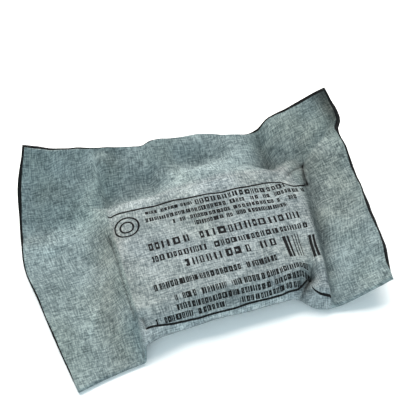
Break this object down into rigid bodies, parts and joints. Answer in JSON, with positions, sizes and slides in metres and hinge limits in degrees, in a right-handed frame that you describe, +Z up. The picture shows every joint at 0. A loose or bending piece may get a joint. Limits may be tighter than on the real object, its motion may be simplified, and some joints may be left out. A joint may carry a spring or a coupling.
{
  "type": "first aid dressing",
  "caption": "Packed first aid dressing: a soft block in a folded cloth wrapper with wide sealed flanges on the left, far and right sides and curled far corners.",
  "frame": {"origin": "middle of the underside of the bounding box, on the surface that the packet lies on", "axes": "+X runs to the right along the near fold, +Y points from the near fold to the far margin, +Z is up"},
  "size_m": [0.183, 0.1242, 0.043],
  "materials": {
    "cloth": "matt grey woven cloth, rubberised on its inner side",
    "rubber": "matt black vulcanised rubber",
    "dressing": "off-white gauze and paper"
  },
  "bodies": {
    "root": {"cloth_wrapper": "cloth", "rubber_seam": "rubber", "dressing_pack": "dressing"}
  },
  "joints": []
}
